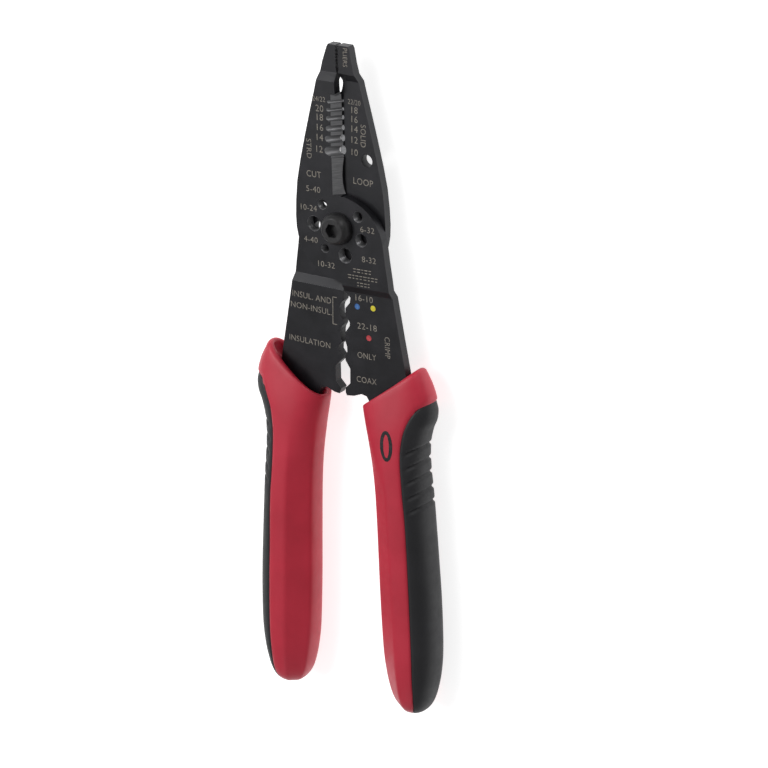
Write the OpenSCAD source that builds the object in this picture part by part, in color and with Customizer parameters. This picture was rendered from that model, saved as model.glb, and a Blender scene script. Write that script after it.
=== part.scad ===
// Wire stripper, crimper and screw cutter with a plier nose.
// Frame: X to the right, Y towards the nose, Z up out of the printed faces, millimetres.
// The tool lies on its grips and its pivot nut. The origin is the bottom centre of its box.
// Each half is drawn about Z as the pivot, with its crimp edge closed, and is then turned outwards
// by half of rest_open.

/* [Plates] */
// plate thickness
plate_t = 3.0; // [2.5:0.1:3.2]
// gap between the two lapped plates
lap_gap = 0.06; // [0.04:0.01:0.1]
// how far the crimp edges stand open at rest, in degrees
rest_open = 1.4; // [1:0.1:3]
// x of the line where the nose faces meet
mate_x = 0.5; // [0.4:0.1:0.9]
// gap left at each side of that line with the noses shut
close_gap = 0.06; // [0.04:0.01:0.1]
// y of the jaw tips above the pivot axis
tip_y = 55.65; // [50:0.05:60]

/* [Stripping and cutting edges] */
// slope of the ground bevel
bevel_a = 43.5; // [40:0.5:45]
// radius of the wire loop hole
loop_r = 1.9; // [1.6:0.1:2.2]
// radius of the circle of screw-cutting holes
holes_r = 8.5; // [8.2:0.1:8.8]

/* [Pivot] */
// pivot screw shank radius
shank_r = 3.0; // [2.8:0.05:3.2]
// running clearance of the shank in the plates
shank_gap = 0.05; // [0.03:0.01:0.09]
// pivot screw head radius
head_r = 5.0; // [4.8:0.05:5.5]
// pivot screw head height
head_h = 3.3; // [2.8:0.1:3.6]
// key width of the hex socket
socket_w = 4.0; // [3.8:0.1:4.2]
// washer thickness
washer_h = 0.85; // [0.7:0.05:1]
// nut height
nut_h = 4.0; // [3.5:0.1:4]
// nut width across its flats
nut_w = 10.0; // [9:0.5:10]

/* [Grips] */
// half the thickness of a grip
grip_b = 7.9375; // [7.5:0.0125:8]
// thickness of the soft overmould
skin_t = 2.4; // [2:0.1:2.8]
// radius of an enamel dot
dot_r = 0.9; // [0.8:0.05:1.4]

/* [Hidden] */
pivot_y = 49.125;          // pivot axis in the part's frame
lap_z = grip_b;            // height of the shear plane between the plates
half_t = plate_t / 2;

// nose and the relief under it
nose_y = 47.4;             // lower end of the serrated nose face
nose_lean = rest_open - 0.3;   // the rear face leans in, so the noses all but touch at rest
teeth = 7;
tooth_p = 0.95;
tooth_d = 0.4;

// stripping edge and hollow cutting edge: x, y of the sharp edge
strip = [[1.3, 40.7], [1.2, 22.1], [1.35, 21.1], [1.05, 18.7], [0.9, 16.2], [0.95, 13.7],
         [1.2, 11.7], [1.6, 9.9]];

// ground bevels over the two edges: upper y, lower y, x of the bevel's upper corner, tilt, slope
bevels = [[40.9, 21.5, -1.0, 1.75, bevel_a], [21.6, 10.2, -1.4, 0, bevel_a - 2.2]];

// stripping grooves: y, radius and x where the bottom meets the face; largest wire last
grooves = [[38.6, 0.52, -2.3], [36.1, 0.62, -2.65], [33.5, 0.8, -2.85], [30.4, 0.95, -3.05],
           [27.2, 1.15, -3.5], [23.5, 1.5, -3.8]];
groove_slope = 40;

// screw-cutting holes: angle about the pivot and radius, mirrored about the angle fold_a
fold_a = 80.4;
holes = [[48, 1.6], [98, 2.4], [155, 1.42], [205, 2.4], [262, 2.1], [312, 1.75]];

// bends that bring the jaw tips and the crimp blades into one plane
bend_top = [44.8, 47.2];
bend_low = [-17.6, -19.9];

// closed crimp edges, nose end first: x, y
crimp_front = [[0.9, -18.6], [0.95, -20.2], [2.7, -21.8], [2.4, -23.5], [0.8, -25.3],
               [0.7, -27.6], [2.2, -29.7], [2.1, -30.8], [0.55, -33], [0.45, -36],
               [0.95, -37.6], [0.95, -39.2], [0.25, -40.5], [0.2, -42], [1.8, -44.5],
               [1.65, -49.2], [-0.1, -50.9], [-0.1, -52.4], [0.3, -53.3]];
crimp_rear = [[0.75, -18.6], [0.8, -20.2], [0.65, -23.1], [-0.45, -24.5], [-0.75, -25.6],
              [-0.65, -28], [0.45, -29.3], [0.4, -30.9], [-0.35, -32.2], [-0.5, -33.4],
              [-0.45, -35], [0.2, -36.4], [-1.2, -37.8], [-1.3, -39.4], [0, -41], [0, -42],
              [-2.4, -44.5], [-2.3, -49.4], [-0.35, -51.4], [-1.1, -53.2]];

// the outer edges and the grips stand this much further apart than the inner edges
splay = 0.4;

// grip stations: y, inner x, outer x, share of half the thickness
grip = [[-36, 6.0, 24.6, 0.62], [-42, 6.0, 27.0, 0.68], [-46, 5.8, 29.0, 0.74],
        [-50, 5.6, 30.2, 0.80], [-54, 5.6, 30.5, 0.86], [-57, 6.0, 30.0, 0.90],
        [-60, 6.6, 28.6, 0.93], [-64, 7.4, 27.4, 0.95], [-68, 8.0, 26.9, 0.96],
        [-74, 8.8, 26.9, 0.97], [-82, 9.4, 27.5, 0.98], [-92, 9.7, 28.0, 1.0],
        [-104, 9.8, 28.6, 1.0], [-116, 9.9, 29.1, 1.0], [-128, 10.2, 29.3, 1.0],
        [-136, 10.6, 29.0, 0.99], [-142, 11.4, 28.2, 0.95], [-146, 12.2, 27.2, 0.89],
        [-149.5, 13.3, 26.1, 0.80], [-152, 14.7, 24.9, 0.66], [-153.5, 16.2, 23.4, 0.50],
        [-154.27, 17.8, 21.8, 0.30]];
mouth_a = 34;              // slope of the grip's mouth
mouth = [4.9, -55.5];      // its inner end

// edge of the soft overmould on the printed side: y, x
seam = [[-36, 28], [-50.4, 30.0], [-51.5, 28.2], [-54, 25.6], [-58.5, 23.2], [-64, 21.8],
        [-69, 21.4], [-78, 21.8], [-90, 22.6], [-110, 23.1], [-132, 23.3], [-142, 23.1],
        [-149.5, 22.6], [-152, 21.9], [-154, 20.6]];
skin_ends = [-50.4, -154];

black = [0.12, 0.12, 0.13];
dark_screw = [0.10, 0.10, 0.11];
grip_red = [0.72, 0.15, 0.22];
grip_black = [0.15, 0.15, 0.16];

// the front half opens anticlockwise and the rear half clockwise
module front_half() {
    translate([0, pivot_y, lap_z]) rotate([0, 0, rest_open / 2]) children();
}

module rear_half() {
    translate([0, pivot_y, lap_z]) rotate([0, 0, -rest_open / 2])
        rotate([0, 180, 0]) children();
}

// points turned outwards by the splay
function spread(pts) = [for (p = pts) [p[0] * cos(splay) - p[1] * sin(splay),
                                       p[0] * sin(splay) + p[1] * cos(splay)]];

// a crimp edge from its lower end upwards, turned over for the rear plate
function crimp_edge(rear) = let (c = rear ? crimp_rear : crimp_front, s = rear ? -1 : 1)
    [for (i = [len(c) - 1 : -1 : 0]) [s * c[i][0], c[i][1]]];

// the outline of one plate
module plate_outline(rear) {
    lean = rear ? sin(nose_lean) : 0;
    face = (rear ? -mate_x : mate_x) - close_gap;
    relief = rear ? 0.7 : 0.1;
    tip_x = rear ? -3.2 : -2.4;
    polygon(concat(
        // serrated nose face, from the tip down
        [[tip_x, tip_y], [face + lean * tip_y - 0.3, tip_y]],
        [for (i = [0 : teeth - 1], s = [0, 1])
            let (y = tip_y - 0.4 - (i + s / 2) * tooth_p)
                [face + lean * y - (s == 0 ? 0 : tooth_d), y]],
        [[face + lean * nose_y, nose_y]],
        // narrow relief under the nose
        [for (t = [0 : 6]) let (y = 46.9 - 0.95 * t)
            [face + lean * y - relief * sin(30 * t), y]],
        // stripping edge and the hollow cutting edge
        strip,
        // edge that grows away from the pivot over the other plate
        spread([for (a = [72 : -6 : -12])
            (10.35 + 5.6 * pow((72 - a) / 84, 1.5)) * [cos(a), sin(a)]]),
        // outer edge of the crimp blade
        spread([[16.2, -9], [16.9, -14.5], [17.5, -20], [19.4, -32], [21.3, -43.5],
                [23.0, -55]]),
        // tang inside the grip
        spread([[23.2, -70], [22.4, -116], [21, -118.5], [16, -118.5], [14.6, -116],
                [13.6, -74], [11.6, -63], [8.8, -55.5]]),
        // lower corner of the blade and its crimp edge
        [[7.4, -52.4], [5.6, -52.0], [2.9, -53.0]],
        crimp_edge(rear),
        // round lower edge over the other plate
        spread([for (a = [272 : -7.5 : 197])
            (14.85 + 1.75 * (a - 197) / 75) * [cos(a), sin(a)]]),
        // outer edge of the jaw
        spread([[-14.7, -1.5], [-14.8, 2], [-14.5, 7], [-13.8, 13], [-12.4, 19.5],
                [-10.5, 27], [-8.2, 35.5], [-6.5, 41.5], [-5.0, 47.3], [-4.1, 50.5],
                [tip_x - 0.1, 54.8]])));
}

// the bent strip seen from the side, which the outline is cut out of
module bent_strip() {
    z0 = lap_gap / 2;
    z1 = plate_t - lap_gap / 2;
    rotate([90, 0, 90]) linear_extrude(height = 80, center = true)
        polygon([[70, half_t], [bend_top[1], half_t], [bend_top[0], z1], [bend_low[0], z1],
                 [bend_low[1], half_t], [-130, half_t], [-130, -half_t],
                 [bend_low[1], -half_t], [bend_low[0], z0], [bend_top[0], z0],
                 [bend_top[1], -half_t], [70, -half_t]]);
}

// ground bevel and stripping grooves on the outer side of the jaw's edge
module ground_edge() {
    z1 = plate_t - lap_gap / 2;
    for (b = bevels) translate([b[2], b[0], z1]) rotate([0, 0, -b[3]]) rotate([90, 0, 0])
        linear_extrude(height = b[0] - b[1])
            polygon([[-0.6, 0.6 * tan(b[4])], [7, 0.6 * tan(b[4])], [7, -7 * tan(b[4])]]);
    for (g = grooves)
        translate([g[2], g[0], z1]) rotate([0, 90 + groove_slope, 0])
            translate([-g[1], 0, 0]) cylinder(h = 14, r = g[1], center = true, $fn = 32);
}

// one plate, whose hole pattern is turned and whose holes are a little larger at the rear
module plate(rear) {
    difference() {
        intersection() {
            translate([0, 0, -5]) linear_extrude(height = 10) plate_outline(rear);
            bent_strip();
        }
        ground_edge();
        cylinder(h = 20, r = shank_r + shank_gap, center = true, $fn = 64);
        for (i = [0 : 5]) {
            a = fold_a + (rear ? holes[5 - i][0] : holes[i][0]);
            translate([holes_r * cos(a), holes_r * sin(a), 0])
                cylinder(h = 20, r = holes[i][1] + (rear ? 0.1 : 0), center = true, $fn = 48);
        }
    }
}

module front_plate() color(black) front_half() difference() {
    plate(false);
    for (d = dots) dot_place(d) cylinder(h = 0.42, r = dot_r + 0.03, $fn = 48);
}

module rear_plate() color(black) rear_half() difference() {
    plate(true);
    translate([-8.5, 21.4, 0]) cylinder(h = 20, r = loop_r, center = true, $fn = 48);
}

module pivot_screw() color(dark_screw) front_half() difference() {
    union() {
        rotate_extrude($fn = 64)
            polygon(concat([[0, -7.7], [shank_r - 0.4, -7.7], [shank_r, -7.3], [shank_r, 3.0]],
                [[head_r, 3.0], [head_r, 3.6]],
                [for (a = [15 : 15 : 60])
                    [head_r - 3.0 + 3.0 * cos(a), 3.6 + (head_h - 0.6) * sin(a) / sin(60)]],
                [[0, 3.0 + head_h]]));
    }
    translate([0, 0, 3.0 + head_h - 2.2])
        cylinder(h = 4, r = socket_w / 2 / cos(30), $fn = 6);
}

module pivot_washer() color(dark_screw) front_half()
    translate([0, 0, -plate_t - 0.05 - washer_h]) difference() {
        cylinder(h = washer_h, r = 6.2, $fn = 64);
        translate([0, 0, -1]) cylinder(h = 3, r = shank_r + 0.1, $fn = 64);
    }

module pivot_nut() color(dark_screw) front_half()
    translate([0, 0, -plate_t - 0.05 - washer_h - nut_h]) difference() {
        cylinder(h = nut_h, r = nut_w / 2 / cos(30), $fn = 6);
        translate([0, 0, -1]) cylinder(h = nut_h + 2, r = shank_r, $fn = 64);
    }

// grip size at a height, from the stations: column c
function grip_at(y, c) = lookup(y, [for (g = grip) [g[0], g[c]]]);

// how far a point of the unit section stands out past the flat on its inner side
function past(u, v) = max(0, -0.604 * u + 0.797 * v - 0.918);

// a point of the rounded section at angle a, t under the surface
function grip_pt(y, a, t) = let (xi = grip_at(y, 1), xo = grip_at(y, 2),
    b = grip_b * grip_at(y, 3), n = 0.86, c = cos(a), s = sin(a),
    u = sign(c) * pow(abs(c), n), v = pow(abs(s), n), f = past(u, v))
    [(xi + xo) / 2 + ((xo - xi) / 2 - t) * (u + 0.604 * f), y,
     (b - t) * sign(s) * (v - 0.797 * f)];

// angle at which the overmould's edge meets the section
function seam_a(y) = let (xi = grip_at(y, 1), xo = grip_at(y, 2),
    q = (lookup(y, seam) - (xi + xo) / 2) / ((xo - xi) / 2))
    acos(pow(min(0.97, max(0.05, q)), 1 / 0.86));

// depth of the overmould at a height
function skin_d(y) = lookup(y, [[-50.4, 0.4], [-57, skin_t], [-146, skin_t], [-154, 0.5]]);

function covered(y) = y <= skin_ends[0] && y >= skin_ends[1];

// section of the hard core, which is notched where the overmould lies
function core_ring(y) = let (q = seam_a(y), t = covered(y) ? skin_d(y) + 0.02 : 0) concat(
    [for (k = [0 : 3]) grip_pt(y, q + (90 - q) * k / 4, 0)],
    [for (k = [0 : 7]) grip_pt(y, 90 + 22.5 * k, 0)],
    [for (k = [0 : 4]) grip_pt(y, 270 + (90 - q) * k / 4, 0)],
    [for (k = [-4 : 4]) grip_pt(y, (q - 4) * k / 4, t)]);

// section of the overmould
function skin_ring(y) = let (q = seam_a(y) - 0.3, t = skin_d(y)) concat(
    [for (k = [-5 : 5]) grip_pt(y, q * k / 5, 0)],
    [for (k = [5 : -1 : -5]) grip_pt(y, (q - 4) * k / 5, t)]);

// a closed solid through equal rings
module loft(rings) {
    m = len(rings);
    n = len(rings[0]);
    polyhedron(points = [for (r = rings) each r], faces = concat(
        [[for (i = [n - 1 : -1 : 0]) i]],
        [for (j = [0 : m - 2], i = [0 : n - 1]) let (k = (i + 1) % n)
            each [[j * n + i, j * n + k, (j + 1) * n + k],
                  [j * n + i, (j + 1) * n + k, (j + 1) * n + i]]],
        [[for (i = [0 : n - 1]) (m - 1) * n + i]]));
}

// everything above the sloping mouth
module above_mouth() {
    translate([mouth[0], mouth[1], -10]) rotate([0, 0, mouth_a])
        translate([-20, 0, 0]) cube([60, 40, 20]);
}

// slot that the tang is moulded into
module tang_slot() {
    translate([0, 0, -half_t - 0.02]) linear_extrude(height = plate_t + 0.04)
        polygon([[4, -50], [7.0, -52.6], [8.7, -55.5], [11.5, -63], [13.5, -74], [14.5, -116],
                 [15.9, -118.6], [21.1, -118.6], [22.5, -116], [23.3, -70], [23.1, -55],
                 [21.4, -43.5], [19.5, -32]]);
}

skin_ys = [-50.4, -51.5, -54, -57, -60, -64, -68, -74, -82, -92, -104, -116, -128, -136,
           -142, -146, -149.5, -152, -153.5, -154];

module grip_core() rotate([0, 0, splay]) difference() {
    difference() {
        loft([for (y = concat([-36, -42, -46, -50.3], skin_ys, [-154.1, -154.27]))
            core_ring(y)]);
        tang_slot();
    }
    above_mouth();
}

module grip_skin() rotate([0, 0, splay]) loft([for (y = skin_ys) skin_ring(y)]);

module right_grip_core() color(grip_red) front_half() grip_core();
module right_grip_skin() color(grip_black) front_half() grip_skin();
module left_grip_core() color(grip_red) rear_half() grip_core();
module left_grip_skin() color(grip_black) rear_half() grip_skin();

// enamel dots in shallow round dimples on the right crimp blade
dots = [[5.0, -24.2], [10.6, -23.9], [8.8, -33.6]];

module dot_place(d) {
    translate([d[0], d[1], half_t - 0.4]) children();
}

module dot(i) {
    front_half() dot_place(dots[i]) cylinder(h = 0.35, r = dot_r, $fn = 48);
}

module blue_dot() color([0.10, 0.30, 0.70]) dot(0);
module yellow_dot() color([0.85, 0.70, 0.10]) dot(1);
module red_dot() color([0.75, 0.12, 0.12]) dot(2);

front_plate();
rear_plate();
pivot_screw();
pivot_washer();
pivot_nut();
right_grip_core();
right_grip_skin();
left_grip_core();
left_grip_skin();
blue_dot();
yellow_dot();
red_dot();
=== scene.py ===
"""Looks of the wire stripper. Sizes are in millimetres in the tables and in metres in the scene."""

import math

import bpy
from mathutils import Matrix, Vector


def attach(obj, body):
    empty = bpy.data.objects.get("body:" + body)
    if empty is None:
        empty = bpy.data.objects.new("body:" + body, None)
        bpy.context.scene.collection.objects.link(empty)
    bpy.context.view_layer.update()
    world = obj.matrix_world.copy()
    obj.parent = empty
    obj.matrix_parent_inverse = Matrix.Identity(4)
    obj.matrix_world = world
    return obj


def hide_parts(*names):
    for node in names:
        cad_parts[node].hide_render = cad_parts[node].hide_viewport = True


MM = 0.001
PIVOT_Y = 49.125
LAP_Z = 7.9375
HALF_OPEN = 0.7    # degrees that each half stands open at rest
SPLAY = 0.4        # the grips stand this much further apart than the jaws
REAR_TOP = -0.03   # front faces of the lapped and the bent stretches, above the shear plane
PLATE_TOP = 2.97
BLADE_TOP = 1.5
FLOOR_GLOW = 0.75  # lifts the floor to the white of a lit table

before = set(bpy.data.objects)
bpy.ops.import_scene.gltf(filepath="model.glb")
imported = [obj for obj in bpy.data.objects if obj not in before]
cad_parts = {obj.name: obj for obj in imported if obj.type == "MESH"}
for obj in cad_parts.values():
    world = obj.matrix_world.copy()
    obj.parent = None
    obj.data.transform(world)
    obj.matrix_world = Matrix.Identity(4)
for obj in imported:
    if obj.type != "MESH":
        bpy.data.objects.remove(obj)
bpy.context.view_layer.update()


# ---------------------------------------------------------------- places

def half(turn, flip=False):
    """From a half drawn about the pivot, in mm, to the part's frame in metres."""
    m = Matrix.Translation((0, PIVOT_Y * MM, LAP_Z * MM))
    m = m @ Matrix.Rotation(math.radians(turn), 4, "Z")
    if flip:
        m = m @ Matrix.Rotation(math.pi, 4, "Y")
    return m @ Matrix.Scale(MM, 4)


FRONT = half(HALF_OPEN)
REAR = half(-HALF_OPEN)
REAR_TURNED = half(-HALF_OPEN, True)
SPREAD = Matrix.Rotation(math.radians(SPLAY), 4, "Z")
FRONT_OUT = FRONT @ SPREAD
REAR_OUT = REAR @ SPREAD.inverted()


# ---------------------------------------------------------------- materials

def new_material(name):
    mat = bpy.data.materials.new(name)
    mat.use_nodes = True
    nt = mat.node_tree
    return mat, nt, nt.nodes["Principled BSDF"], nt.links


def coords(nt, scale=(1, 1, 1)):
    """Object coordinates in millimetres, stretched by scale."""
    tc = nt.nodes.new("ShaderNodeTexCoord")
    mp = nt.nodes.new("ShaderNodeMapping")
    mp.inputs["Scale"].default_value = [1000 * s for s in scale]
    nt.links.new(tc.outputs["Object"], mp.inputs["Vector"])
    return mp.outputs["Vector"]


def noise(nt, vec, scale, detail=4.0, rough=0.55):
    n = nt.nodes.new("ShaderNodeTexNoise")
    n.inputs["Scale"].default_value = scale
    n.inputs["Detail"].default_value = detail
    n.inputs["Roughness"].default_value = rough
    nt.links.new(vec, n.inputs["Vector"])
    return n.outputs["Fac"]


def ramp(nt, fac, stops):
    r = nt.nodes.new("ShaderNodeValToRGB")
    el = r.color_ramp.elements
    el[0].position, el[0].color = stops[0][0], (*stops[0][1], 1)
    el[1].position, el[1].color = stops[-1][0], (*stops[-1][1], 1)
    for pos, col in stops[1:-1]:
        e = el.new(pos)
        e.color = (*col, 1)
    nt.links.new(fac, r.inputs["Fac"])
    return r.outputs["Color"]


def spread(nt, fac, lo, hi):
    m = nt.nodes.new("ShaderNodeMapRange")
    m.inputs["From Min"].default_value = 0.25
    m.inputs["From Max"].default_value = 0.75
    m.inputs["To Min"].default_value = lo
    m.inputs["To Max"].default_value = hi
    nt.links.new(fac, m.inputs["Value"])
    return m.outputs["Result"]


def bump(nt, height, bsdf, strength, distance, after=None):
    b = nt.nodes.new("ShaderNodeBump")
    b.inputs["Strength"].default_value = strength
    b.inputs["Distance"].default_value = distance
    nt.links.new(height, b.inputs["Height"])
    if after is not None:
        nt.links.new(after, b.inputs["Normal"])
    if bsdf is not None:
        nt.links.new(b.outputs["Normal"], bsdf.inputs["Normal"])
    return b.outputs["Normal"]


def black_steel():
    """Black oxide over rolled steel, with faint smudges and fine grain."""
    mat, nt, bsdf, ln = new_material("black_oxide_steel")
    v = coords(nt)
    cloud = noise(nt, v, 0.16, 5)
    grain = noise(nt, v, 5.0, 3)
    ln.new(ramp(nt, cloud, [(0.3, (0.009, 0.009, 0.011)), (0.55, (0.013, 0.013, 0.016)),
                            (0.75, (0.019, 0.018, 0.022))]), bsdf.inputs["Base Color"])
    bsdf.inputs["Metallic"].default_value = 0.35
    ln.new(spread(nt, cloud, 0.36, 0.5), bsdf.inputs["Roughness"])
    first = bump(nt, cloud, None, 0.12, 0.0004)
    bump(nt, grain, bsdf, 0.10, 0.00004, first)
    return mat


def edge_wear_and_highlight():
    """Edges where the black has rubbed thin, lightened further as a painted highlight along the
    edges.
    """
    mat, nt, bsdf, ln = new_material("edge_wear_and_highlight_steel")
    patch = noise(nt, coords(nt), 0.35, 4)
    ln.new(ramp(nt, patch, [(0.35, (0.025, 0.025, 0.028)), (0.6, (0.08, 0.08, 0.085)),
                            (0.8, (0.20, 0.20, 0.205))]), bsdf.inputs["Base Color"])
    bsdf.inputs["Metallic"].default_value = 0.6
    ln.new(spread(nt, patch, 0.28, 0.4), bsdf.inputs["Roughness"])
    bump(nt, patch, bsdf, 0.15, 0.00005)
    return mat


def ground_steel():
    """Bare ground edge with grinding marks across it."""
    mat, nt, bsdf, ln = new_material("ground_steel")
    streak = noise(nt, coords(nt, (0.25, 6.0, 0.25)), 1.4, 3)
    cloud = noise(nt, coords(nt), 0.5, 3)
    ln.new(ramp(nt, streak, [(0.3, (0.18, 0.18, 0.185)), (0.7, (0.31, 0.31, 0.32))]),
           bsdf.inputs["Base Color"])
    bsdf.inputs["Metallic"].default_value = 0.75
    ln.new(spread(nt, cloud, 0.38, 0.52), bsdf.inputs["Roughness"])
    bump(nt, streak, bsdf, 0.25, 0.00005)
    return mat


def cut_steel():
    """Freshly tapped thread, a little brighter than the plate."""
    mat, nt, bsdf, ln = new_material("tapped_steel")
    fine = noise(nt, coords(nt), 3.0, 3)
    ln.new(ramp(nt, fine, [(0.3, (0.16, 0.16, 0.165)), (0.7, (0.30, 0.30, 0.31))]),
           bsdf.inputs["Base Color"])
    bsdf.inputs["Metallic"].default_value = 0.8
    ln.new(spread(nt, fine, 0.28, 0.42), bsdf.inputs["Roughness"])
    bump(nt, fine, bsdf, 0.15, 0.00004)
    return mat


def screw_steel():
    mat, nt, bsdf, ln = new_material("screw_black_oxide")
    v = coords(nt)
    cloud = noise(nt, v, 0.5, 4)
    ln.new(ramp(nt, cloud, [(0.3, (0.020, 0.020, 0.021)), (0.7, (0.036, 0.035, 0.036))]),
           bsdf.inputs["Base Color"])
    bsdf.inputs["Metallic"].default_value = 0.4
    ln.new(spread(nt, cloud, 0.34, 0.48), bsdf.inputs["Roughness"])
    bump(nt, noise(nt, v, 7.0, 3), bsdf, 0.12, 0.00004)
    return mat


def grip_plastic(name, dark, mid, light, rough, coat, grain_depth):
    """Moulded plastic or rubber: a fine pebbled texture with slow colour drift."""
    mat, nt, bsdf, ln = new_material(name)
    v = coords(nt)
    cloud = noise(nt, v, 0.07, 4)
    pebble = noise(nt, v, 3.2, 2)
    ln.new(ramp(nt, cloud, [(0.3, dark), (0.52, mid), (0.75, light)]),
           bsdf.inputs["Base Color"])
    ln.new(spread(nt, noise(nt, v, 0.3, 3), rough - 0.05, rough + 0.07),
           bsdf.inputs["Roughness"])
    bsdf.inputs["Coat Weight"].default_value = coat
    bsdf.inputs["Coat Roughness"].default_value = 0.45
    first = bump(nt, cloud, None, 0.03, 0.0006)
    bump(nt, pebble, bsdf, 0.25, grain_depth, first)
    return mat


def enamel(name, dark, light):
    mat, nt, bsdf, ln = new_material(name)
    cloud = noise(nt, coords(nt), 0.8, 3)
    ln.new(ramp(nt, cloud, [(0.35, dark), (0.65, light)]), bsdf.inputs["Base Color"])
    ln.new(spread(nt, cloud, 0.18, 0.3), bsdf.inputs["Roughness"])
    bsdf.inputs["Coat Weight"].default_value = 0.6
    bump(nt, cloud, bsdf, 0.3, 0.0001)
    return mat


def print_ink():
    """Pale marking ink, thin and a little uneven."""
    mat, nt, bsdf, ln = new_material("marking_ink")
    patch = noise(nt, coords(nt), 2.2, 3)
    ln.new(ramp(nt, patch, [(0.3, (0.13, 0.118, 0.10)), (0.65, (0.30, 0.27, 0.23))]),
           bsdf.inputs["Base Color"])
    ln.new(spread(nt, patch, 0.5, 0.7), bsdf.inputs["Roughness"])
    bump(nt, patch, bsdf, 0.2, 0.00003)
    return mat


BLACK = black_steel()
# lighter edge colour: partly rubbed wear, partly a painted highlight
EDGE_WEAR_AND_HIGHLIGHT = edge_wear_and_highlight()
GROUND = ground_steel()
TAPPED = cut_steel()
SCREW = screw_steel()
RED = grip_plastic("grip_red_plastic", (0.45, 0.012, 0.034), (0.50, 0.015, 0.040),
                   (0.54, 0.019, 0.047), 0.46, 0.15, 0.00005)
SOFT = grip_plastic("grip_black_rubber", (0.006, 0.006, 0.008), (0.009, 0.009, 0.011),
                    (0.013, 0.013, 0.016), 0.55, 0.0, 0.00008)
INK = print_ink()
MARK = enamel("grip_ring_ink", (0.010, 0.010, 0.012), (0.022, 0.020, 0.024))


# ---------------------------------------------------------------- helpers

def piece(name, verts, faces, mat, body, smooth=True):
    mesh = bpy.data.meshes.new(name)
    mesh.from_pydata([tuple(v) for v in verts], [], faces)
    mesh.validate()
    mesh.update()
    if smooth:
        mesh.polygons.foreach_set("use_smooth", [True] * len(mesh.polygons))
    obj = bpy.data.objects.new(name, mesh)
    bpy.context.scene.collection.objects.link(obj)
    mesh.materials.append(mat)
    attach(obj, body)
    return obj


def bevel(obj, width, segments=2, angle=28):
    weld = obj.modifiers.new("weld", "WELD")
    weld.merge_threshold = 1e-6
    b = obj.modifiers.new("edge", "BEVEL")
    b.width = width * MM
    b.segments = segments
    b.limit_method = "ANGLE"
    b.angle_limit = math.radians(angle)
    b.use_clamp_overlap = True
    b.harden_normals = True


def lerp_table(table, y, col):
    """Smooth interpolation of one column of a table sorted by falling y."""
    if y >= table[0][0]:
        return table[0][col]
    if y <= table[-1][0]:
        return table[-1][col]
    i = 0
    while table[i + 1][0] > y:
        i += 1
    rows = [table[max(0, min(len(table) - 1, i + k))] for k in (-1, 0, 1, 2)]
    y0, y1 = rows[1][0], rows[2][0]
    t = (y0 - y) / (y0 - y1)

    def slope(a, b, c):
        return (c[col] - a[col]) / (a[0] - c[0]) if a[0] != c[0] else 0.0

    h = y0 - y1
    m0 = slope(rows[0], rows[1], rows[2]) * h
    m1 = slope(rows[1], rows[2], rows[3]) * h
    p0, p1 = rows[1][col], rows[2][col]
    return ((2 * t**3 - 3 * t**2 + 1) * p0 + (t**3 - 2 * t**2 + t) * m0
            + (-2 * t**3 + 3 * t**2) * p1 + (t**3 - t**2) * m1)


def bell(x, mid, width):
    return math.exp(-(((x - mid) / width) ** 2))


def smooth_step(x, lo, hi):
    t = max(0.0, min(1.0, (x - lo) / (hi - lo)))
    return t * t * (3 - 2 * t)


# ---------------------------------------------------------------- grips

# y from the pivot, inner x, outer x, share of the half thickness
GRIP = [(-36, 6.0, 24.6, 0.62), (-42, 6.0, 27.0, 0.68), (-46, 5.8, 29.0, 0.74),
        (-50, 5.6, 30.2, 0.80), (-54, 5.6, 30.5, 0.86), (-57, 6.0, 30.0, 0.90),
        (-60, 6.6, 28.6, 0.93), (-64, 7.4, 27.4, 0.95), (-68, 8.0, 26.9, 0.96),
        (-74, 8.8, 26.9, 0.97), (-82, 9.4, 27.5, 0.98), (-92, 9.7, 28.0, 0.995),
        (-104, 9.8, 28.6, 0.995), (-116, 9.9, 29.1, 0.995), (-128, 10.2, 29.2, 0.995),
        (-136, 10.6, 28.9, 0.985), (-142, 11.4, 28.1, 0.95), (-146, 12.2, 27.2, 0.89),
        (-149.5, 13.3, 26.1, 0.80), (-152, 14.8, 24.8, 0.65), (-153.5, 16.4, 23.2, 0.45),
        (-154.25, 18.2, 21.4, 0.22)]
SEAM = [(-36, 28), (-50.4, 30.0), (-51.5, 28.2), (-54, 25.6), (-58.5, 23.2), (-64, 21.8),
        (-69, 21.4), (-78, 21.8), (-90, 22.6), (-110, 23.1), (-132, 23.3), (-142, 23.1),
        (-149.5, 22.6), (-152, 21.9), (-154, 20.6)]
MOUTH_SLOPE = math.tan(math.radians(34))
POWER = 0.86       # 1 is an ellipse, less is squarer
FLAT = (0.604, 0.797, 0.918)  # direction and distance of the flat on the inner side
CORE_END = -154.25
SKIN_TOP = -50.6
SKIN_LENGTH = 103.64
SUNK = 1.15        # how far the core lies under the overmould
RIBS = (-65.0, -69.8, -74.4, -79.2, -83.6)


def signed_power(v, n):
    return math.copysign(abs(v) ** n, v)


def section_point(y, a, t):
    """A point of the grip's section at angle a, t under the surface."""
    xi, xo = lerp_table(GRIP, y, 1), lerp_table(GRIP, y, 2)
    b = LAP_Z * lerp_table(GRIP, y, 3)
    u = signed_power(math.cos(a), POWER)
    v = abs(math.sin(a)) ** POWER
    # a softly rounded flat on the inner side leaves a ridge along each broad face
    along_u, along_v, far = FLAT
    past = -along_u * u + along_v * v - far
    past = (past + math.sqrt(past * past + 0.0004)) / 2 * smooth_step(-y, 60, 82)
    u += along_u * past
    v -= along_v * past
    x = (xi + xo) / 2 + max((xo - xi) / 2 - t, 0.2) * u
    return x, math.copysign(max(b - t, 0.2) * v, math.sin(a))


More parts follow.
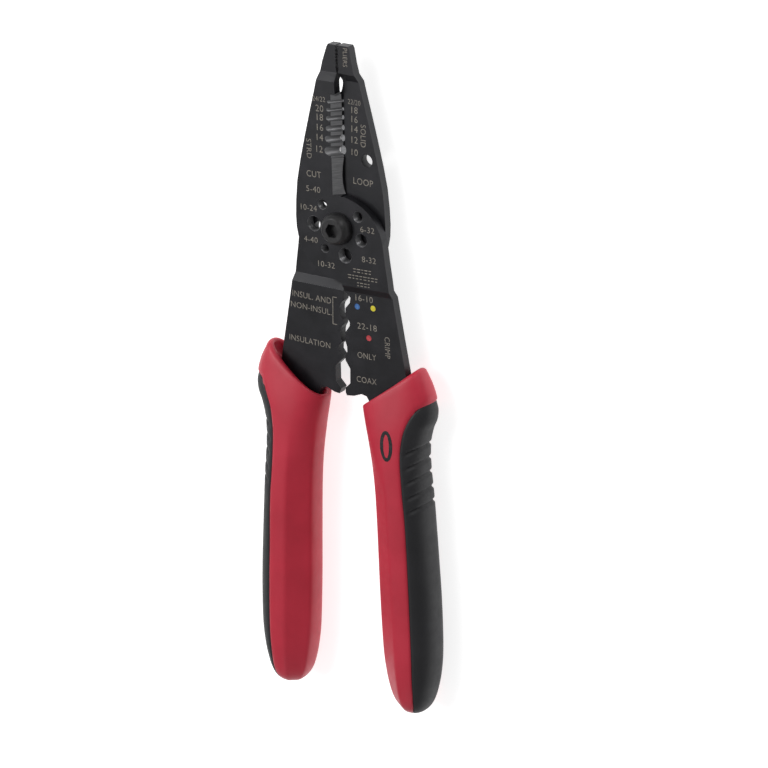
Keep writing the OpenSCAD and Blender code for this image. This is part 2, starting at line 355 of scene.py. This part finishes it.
def seam_angle(y):
    xi, xo = lerp_table(GRIP, y, 1), lerp_table(GRIP, y, 2)
    q = (lerp_table(SEAM, y, 1) - (xi + xo) / 2) / ((xo - xi) / 2)
    return math.acos(min(0.97, max(0.05, q)) ** (1 / POWER))


def towards_end(share):
    """Spaces rows along a grip closer together towards its rounded end."""
    return 1 - (1 - share) ** 1.35


def mouth_y(x):
    return -55.5 + (x - 4.9) * MOUTH_SLOPE


def core_mesh():
    """Hard core: one skin whose first rows turn in at the lip of the sloping mouth."""
    ring, verts, faces = 96, [], []
    lip = [(2.4, 4.0), (2.2, 1.2), (1.9, 0.35), (1.4, 0.05), (0.8, 0.0), (0.35, 0.15),
           (0.1, 0.45), (0.0, 0.9)]
    tail = 90
    for i in range(len(lip) + tail):
        for j in range(ring):
            a = 2 * math.pi * j / ring
            top = -48.0
            for _ in range(8):
                top = mouth_y(section_point(top, a, 0.0)[0])
            if i < len(lip):
                t, y = lip[i][0], top - lip[i][1]
            else:
                share = towards_end((i - len(lip) + 1) / tail)
                t, y = 0.0, top - 0.9 + (CORE_END - top + 0.9) * share
                # sinks under the overmould, which leaves a fine line at its edge
                if y < SKIN_TOP:
                    off = abs((a + math.pi) % (2 * math.pi) - math.pi)
                    seam = seam_angle(y)
                    t = SUNK * (1 - smooth_step(off, seam - 0.12, seam + 0.012))
                    t *= smooth_step(-y, -SKIN_TOP, 1.4 - SKIN_TOP)
            x, z = section_point(y, a, t)
            zmax = LAP_Z - 0.002
            verts.append((x, y, max(-zmax, min(zmax, z))))
    rows = len(lip) + tail
    for i in range(rows - 1):
        for j in range(ring):
            k = (j + 1) % ring
            faces.append((i * ring + j, i * ring + k, (i + 1) * ring + k, (i + 1) * ring + j))
    faces.append(tuple((rows - 1) * ring + j for j in range(ring)))
    faces.append(tuple(j for j in reversed(range(ring))))
    return verts, faces


def skin_mesh():
    """Soft overmould: a shell over the outer side with a rolled edge and ribs near its top."""
    rows, cols = 260, 46
    outer, inner = [], []
    for i in range(rows):
        y = SKIN_TOP - SKIN_LENGTH * towards_end(i / (rows - 1))
        edge = seam_angle(y) - 0.010
        fade = smooth_step(i, 0, 7) * smooth_step(rows - 1 - i, 0, 4)
        for j in range(cols):
            u = -1 + 2 * j / (cols - 1)
            rolled = (1 - smooth_step(1 - abs(u), 0.0, 0.07)) ** 2 * 0.35
            rib = max(bell(y + 2.5 * abs(u) ** 2, r, 0.5) for r in RIBS)
            sink = 0.8 * rib * (1 - smooth_step(abs(u), 0.7, 0.92))
            t = 0.02 + rolled + sink + 0.4 * (1 - fade)
            x, z = section_point(y, edge * u, t)
            outer.append((x, y, z))
            x, z = section_point(y, edge * u * 0.985, 1.1)
            inner.append((x, y, z))
    verts, faces = outer + inner, []
    off = rows * cols
    for i in range(rows - 1):
        for j in range(cols - 1):
            a, b = i * cols + j, i * cols + j + 1
            c, d = a + cols, b + cols
            faces.append((a, b, d, c))
            faces.append((off + a, off + c, off + d, off + b))
        for j, flip in ((0, False), (cols - 1, True)):
            a, c = i * cols + j, (i + 1) * cols + j
            q = (a, c, off + c, off + a)
            faces.append(tuple(reversed(q)) if flip else q)
    for i, flip in ((0, True), (rows - 1, False)):
        for j in range(cols - 1):
            a, b = i * cols + j, i * cols + j + 1
            q = (a, b, off + b, off + a)
            faces.append(tuple(reversed(q)) if flip else q)
    return verts, faces


def make_grips():
    parts = (("core", core_mesh(), RED, "red_grip"), ("skin", skin_mesh(), SOFT, "black_grip"))
    for side, place, body in (("right", FRONT, "front_half"),
                              ("left", REAR_TURNED, "rear_half")):
        placed = place @ SPREAD
        for part, (verts, faces), mat, slot in parts:
            obj = piece(f"{side}_grip_{part}_look", [placed @ Vector(v) for v in verts], faces,
                        mat, body)
            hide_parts(f"{side}_grip_{part}")


# ---------------------------------------------------------------- steel

def paint_plate(name, place):
    """Black plate with worn edges that also carry a painted edge highlight, and the ground bevel
    and its grooves in bare steel.
    """
    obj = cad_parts[name]
    mesh = obj.data
    mesh.materials.clear()
    for mat in (BLACK, GROUND, EDGE_WEAR_AND_HIGHLIGHT):
        mesh.materials.append(mat)
    back = place.inverted()
    for p in mesh.polygons:
        c = back @ p.center
        n = (back.to_3x3() @ p.normal).normalized()
        in_zone = 10.25 < c.y < 40.95 and -4.4 < c.x < 2.2 and c.z > 0.1
        p.material_index = 1 if in_zone and 0.12 < n.z < 0.99 else 0
    bevel(obj, 0.16, 2)
    # the bevelled edges take the lighter edge colour: partly rubbed wear, partly a painted
    # highlight
    obj.modifiers["edge"].material = 2


# screw-cutting holes of the front plate: angle past HOLES_TURN, radius, thread pitch
HOLES = [(48, 1.6, 0.635), (98, 2.4, 1.06), (155, 1.42, 0.635), (205, 2.4, 0.794),
         (262, 2.1, 0.794), (312, 1.75, 0.794)]
HOLES_TURN = 80.4
HOLES_RING = 8.5


def make_threads():
    """Tapped walls of the six screw-cutting holes in the front plate."""
    seg = 64
    for k, (off, r, pitch) in enumerate(HOLES):
        ang = math.radians(HOLES_TURN + off)
        cx, cy = HOLES_RING * math.cos(ang), HOLES_RING * math.sin(ang)
        verts, faces = [], []
        steps = 40
        depth = 0.30 * min(1.0, pitch / 0.794)
        z0, z1 = 0.06, 2.94
        for i in range(steps + 1):
            z = z0 + (z1 - z0) * i / steps
            mouth = min(1.0, (z1 - z) / 0.35)
            for j in range(seg):
                a = 2 * math.pi * j / seg
                ph = (z / pitch - j / seg) % 1.0
                tooth = 1 - abs(2 * ph - 1)
                rr = r - 0.03 - depth * tooth * mouth
                verts.append(FRONT @ Vector((cx + rr * math.cos(a), cy + rr * math.sin(a), z)))
        base = len(verts)
        for z in (z0, z1):
            for j in range(seg):
                a = 2 * math.pi * j / seg
                verts.append(FRONT @ Vector((cx + r * math.cos(a), cy + r * math.sin(a), z)))
        for i in range(steps):
            for j in range(seg):
                n = (j + 1) % seg
                faces.append((i * seg + j, (i + 1) * seg + j, (i + 1) * seg + n, i * seg + n))
        for j in range(seg):
            n = (j + 1) % seg
            faces.append((j, n, base + n, base + j))
            faces.append((steps * seg + n, steps * seg + j, base + seg + j, base + seg + n))
            faces.append((base + j, base + n, base + seg + n, base + seg + j))
        piece(f"thread_{k + 1}", verts, faces, TAPPED, "front_half")


def finish_cad(name, mat, width, segments=2):
    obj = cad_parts[name]
    obj.data.materials.clear()
    obj.data.materials.append(mat)
    if width:
        bevel(obj, width, segments)


# ---------------------------------------------------------------- markings

def text_mesh(words, size, x, y, z, turn, stretch, place):
    """Flat extruded lettering centred at x, y on the face at height z."""
    cu = bpy.data.curves.new("words", "FONT")
    cu.body = words
    cu.size = size
    cu.align_x = "CENTER"
    cu.align_y = "CENTER"
    cu.extrude = 0.012
    cu.space_character = 1.05
    cu.resolution_u = 3
    cu.offset = -0.012
    obj = bpy.data.objects.new("words", cu)
    bpy.context.scene.collection.objects.link(obj)
    bpy.context.view_layer.update()
    mesh = bpy.data.meshes.new_from_object(
        obj.evaluated_get(bpy.context.evaluated_depsgraph_get()))
    bpy.data.objects.remove(obj)
    m = place @ Matrix.Translation((x, y, z)) @ Matrix.Rotation(math.radians(turn), 4, "Z")
    m = m @ Matrix.Diagonal((stretch, 1, 1, 1))
    verts = [m @ v.co for v in mesh.vertices]
    faces = [tuple(p.vertices) for p in mesh.polygons]
    bpy.data.meshes.remove(mesh)
    return verts, faces


def make_words(name, items, z, place, body):
    verts, faces = [], []
    for words, size, x, y, turn, stretch in items:
        v, f = text_mesh(words, size, x, y, z, turn, stretch, place)
        n = len(verts)
        verts += v
        faces += [tuple(i + n for i in q) for q in f]
    return piece(name, verts, faces, INK, body, smooth=False)


# words, size, x, y, turn, stretch; drawn about the pivot and turned by the splay as well
FRONT_HIGH = [("24/22", 2.2, -4.9, 39.0, 0, 0.88)] + [
    (n, 2.9, x, y, 0, 0.98) for n, x, y in (
        ("20", -4.8, 36.1), ("18", -5.0, 33.4), ("16", -5.1, 30.3), ("14", -5.3, 27.2),
        ("12", -5.6, 23.6))] + [
    ("STRD", 2.5, -9.2, 23.4, -90, 1.0), ("CUT", 2.8, -7.8, 15.6, 0, 0.92),
    ("5-40", 2.6, -8.2, 10.9, 0, 1.05), ("10-24", 2.6, -10.3, 4.9, 0, 1.0),
    ("4-40", 2.6, -9.8, -5.0, 0, 1.02), ("10-32", 2.6, -4.8, -12.1, 0, 1.04),
    ("6-32", 2.6, 10.4, 0.8, 0, 1.04), ("8-32", 2.6, 10.6, -8.5, 0, 1.04)]
FRONT_LOW = [("16-10", 2.8, 7.2, -21.5, 0, 1.0), ("22-18", 2.8, 8.1, -30.3, 0, 1.05),
             ("ONLY", 2.7, 7.6, -39.6, 0, 0.9), ("COAX", 2.7, 7.2, -47.4, 0, 0.9),
             ("CRIMP", 2.6, 15.0, -35.6, -90, 0.9)]
REAR_HIGH = [("22/20", 2.2, 4.0, 38.6, 0, 0.86)] + [
    (n, 2.9, x, y, 0, 0.95) for n, x, y in (
        ("18", 3.9, 36.2), ("16", 3.9, 33.4), ("14", 3.9, 30.4), ("12", 3.9, 27.1),
        ("10", 3.9, 23.3))] + [
    ("SOLID", 2.6, 7.0, 28.9, -90, 0.95), ("LOOP", 2.9, 7.0, 14.6, 0, 0.9)]
REAR_LOW = [("INSUL. AND", 2.7, -10.5, -24.2, 0, 0.94),
            ("NON-INSUL.", 2.7, -10.7, -27.8, 0, 0.95),
            ("INSULATION", 2.7, -11.3, -38.6, 0, 0.93),
            ("PLIERS", 2.2, 1.8, 52.3, -90, 0.9)]
# rows of plain strokes in the place of a printed note: middle y, left x, right x
NOTE_ROWS = [(-12.3, 4.9, 11.5), (-14.4, 2.9, 13.7), (-16.5, 6.1, 10.5)]


def thin_bars(name, bars, z, place, body):
    """Thin printed strokes: x, y, width, height."""
    verts, faces = [], []
    for x, y, w, h in bars:
        n = len(verts)
        for dz in (-0.012, 0.012):
            for dx, dy in ((-w, -h), (w, -h), (w, h), (-w, h)):
                verts.append(place @ Vector((x + dx / 2, y + dy / 2, z + dz)))
        faces += [tuple(n + i for i in q) for q in
                  ((3, 2, 1, 0), (4, 5, 6, 7), (0, 1, 5, 4), (1, 2, 6, 5), (2, 3, 7, 6),
                   (3, 0, 4, 7))]
    return piece(name, verts, faces, INK, body, smooth=False)


def note_bars():
    """Short strokes of uneven length along each row of the note."""
    bars = []
    for row, (y, x0, x1) in enumerate(NOTE_ROWS):
        x, k = x0, row
        while x < x1 - 0.3:
            w = min((0.9, 1.3, 0.7, 1.1)[k % 4], x1 - x)
            bars += [(x + w / 2, y + 0.45, w, 0.26), (x + w / 2, y - 0.45, w * 0.8, 0.26)]
            x, k = x + w + 0.35, k + 1
    return bars


def ring_mark():
    """Plain dark oval ring on the right grip's broad face, following its surface."""
    def surface(x, y):
        lo, hi = 0.02, math.pi / 2
        if x < (lerp_table(GRIP, y, 1) + lerp_table(GRIP, y, 2)) / 2:
            lo, hi = math.pi / 2, math.pi - 0.02
        for _ in range(30):
            mid = (lo + hi) / 2
            lo, hi = (mid, hi) if section_point(y, mid, 0.0)[0] > x else (lo, mid)
        return min(section_point(y, lo, 0.0)[1] + 0.02, LAP_Z - 0.003)

    verts, faces, n = [], [], 72
    mid_x, mid_y = 17.3, -64.6
    for k in range(n):
        a = 2 * math.pi * k / n
        for rx, ry in ((2.2, 4.9), (1.9, 4.6), (1.3, 4.0), (1.0, 3.7)):
            x, y = mid_x + rx * math.cos(a), mid_y + ry * math.sin(a)
            verts.append(FRONT_OUT @ Vector((x, y, surface(x, y))))
    for k in range(n):
        m = (k + 1) % n
        for i in range(3):
            faces.append((k * 4 + i, m * 4 + i, m * 4 + i + 1, k * 4 + i + 1))
    piece("right_grip_ring_print", verts, faces, MARK, "front_half")


# y, half height and right-hand x
GROOVE_ENDS = [(38.6, 0.5, 1.55), (36.1, 0.6, 1.6), (33.5, 0.75, 1.6), (30.4, 0.9, 1.6),
               (27.2, 1.1, 1.65), (23.5, 1.4, 1.9)]


def groove_ends():
    """Bright worn spots on the rear plate at the open ends of the stripping grooves."""
    verts, faces, n = [], [], 20
    for y, r, x in GROOVE_ENDS:
        base = len(verts)
        for k in range(n):
            a = 2 * math.pi * k / n
            verts.append(FRONT @ Vector((x - 0.75 * r + 0.75 * r * math.cos(a),
                                         y + r * math.sin(a), REAR_TOP + 0.001)))
        faces.append(tuple(base + k for k in range(n)))
    piece("groove_end_wear", verts, faces, GROUND, "rear_half", smooth=False)


def make_markings():
    make_words("front_jaw_print", FRONT_HIGH, PLATE_TOP, FRONT_OUT, "front_half")
    make_words("front_blade_print", FRONT_LOW, BLADE_TOP, FRONT_OUT, "front_half")
    make_words("rear_jaw_print", REAR_HIGH, REAR_TOP, REAR_OUT, "rear_half")
    make_words("rear_blade_print", REAR_LOW, BLADE_TOP, REAR_OUT, "rear_half")
    # bracket beside the two lines on crimping
    thin_bars("bracket_print", [(-2.9, -26.9, 0.24, 8.8), (-2.2, -22.6, 1.5, 0.24),
                                (-2.2, -31.2, 1.5, 0.24)], BLADE_TOP, REAR_OUT, "rear_half")
    thin_bars("note_print", note_bars(), PLATE_TOP, FRONT_OUT, "front_half")
    ring_mark()
    groove_ends()


# ---------------------------------------------------------------- camera, floor, light

def make_camera():
    """A long lens from the right and above the nose."""
    az, el, roll = math.radians(32.87), math.radians(20.88), math.radians(-1.047)
    dist, lens = 1058.0, 165.05
    aside, down = 11.262, 11.1   # the aimed point is this far left of the middle and above it
    look = Vector((0.2, -38.4 + PIVOT_Y, LAP_Z))
    back = Vector((math.sin(az) * math.cos(el), math.sin(el), math.cos(az) * math.cos(el)))
    level = Vector((0, 1, 0)).cross(back).normalized()
    upright = back.cross(level)
    right = math.cos(roll) * level + math.sin(roll) * upright
    up = -math.sin(roll) * level + math.cos(roll) * upright
    pos = look + back * dist + right * aside - up * down
    cam = bpy.data.objects.new("camera", bpy.data.cameras.new("camera"))
    bpy.context.scene.collection.objects.link(cam)
    cam.data.sensor_width = 36.0
    cam.data.lens = lens
    cam.data.clip_start, cam.data.clip_end = 0.05, 20
    cam.matrix_world = Matrix.Translation(pos * MM) @ Matrix(
        (right, up, back)).transposed().to_4x4()
    bpy.context.scene.camera = cam


def area(name, pos, target, size, watts, colour=(1, 1, 1)):
    data = bpy.data.lights.new(name, "AREA")
    data.shape = "RECTANGLE"
    data.size, data.size_y = size
    data.energy = watts
    data.color = colour
    obj = bpy.data.objects.new(name, data)
    bpy.context.scene.collection.objects.link(obj)
    obj.location = pos
    obj.rotation_euler = (Vector(pos) - Vector(target)).to_track_quat("Z", "Y").to_euler()
    return obj


def make_stage():
    mat, nt, bsdf, ln = new_material("pale_floor")
    grain = noise(nt, coords(nt), 0.05, 2)
    ln.new(ramp(nt, grain, [(0.3, (0.68, 0.68, 0.68)), (0.7, (0.72, 0.72, 0.72))]),
           bsdf.inputs["Base Color"])
    bsdf.inputs["Roughness"].default_value = 0.9
    bsdf.inputs["Specular IOR Level"].default_value = 0.1
    bsdf.inputs["Emission Color"].default_value = (1, 1, 1, 1)
    bsdf.inputs["Emission Strength"].default_value = FLOOR_GLOW
    mesh = bpy.data.meshes.new("floor")
    far = 3.0
    corners = [(-far, -far, 0), (far, -far, 0), (far, far, 0), (-far, far, 0)]
    mesh.from_pydata(corners, [], [(0, 1, 2, 3)])
    mesh.materials.append(mat)
    floor = bpy.data.objects.new("floor", mesh)
    bpy.context.scene.collection.objects.link(floor)
    floor.location.z = -0.0002
    scene = bpy.context.scene
    scene.view_settings.view_transform = "Standard"
    world = bpy.data.worlds.new("studio")
    scene.world = world
    world.use_nodes = True
    world.node_tree.nodes["Background"].inputs["Color"].default_value = (1, 1, 1, 1)
    world.node_tree.nodes["Background"].inputs["Strength"].default_value = 0.26
    area("key", (-0.55, 0.35, 0.80), (0, 0, 0), (0.9, 0.9), 8.6)
    area("top_right", (0.55, 0.75, 0.50), (0, 0.05, 0), (0.12, 0.3), 1.6)
    area("front_fill", (-0.1, -0.9, 0.6), (0, -0.03, 0), (0.7, 0.4), 0.6)


# ---------------------------------------------------------------- build

make_grips()
paint_plate("front_plate", FRONT)
paint_plate("rear_plate", REAR_TURNED)
make_threads()
finish_cad("pivot_screw", SCREW, 0.2)
finish_cad("pivot_washer", SCREW, 0.12)
finish_cad("pivot_nut", SCREW, 0.3)
finish_cad("blue_dot", enamel("enamel_blue", (0.03, 0.10, 0.30), (0.06, 0.17, 0.42)), 0.12)
finish_cad("yellow_dot", enamel("enamel_yellow", (0.60, 0.50, 0.02), (0.75, 0.66, 0.06)), 0.12)
finish_cad("red_dot", enamel("enamel_red", (0.38, 0.03, 0.04), (0.52, 0.06, 0.07)), 0.12)
make_markings()
make_camera()
make_stage()
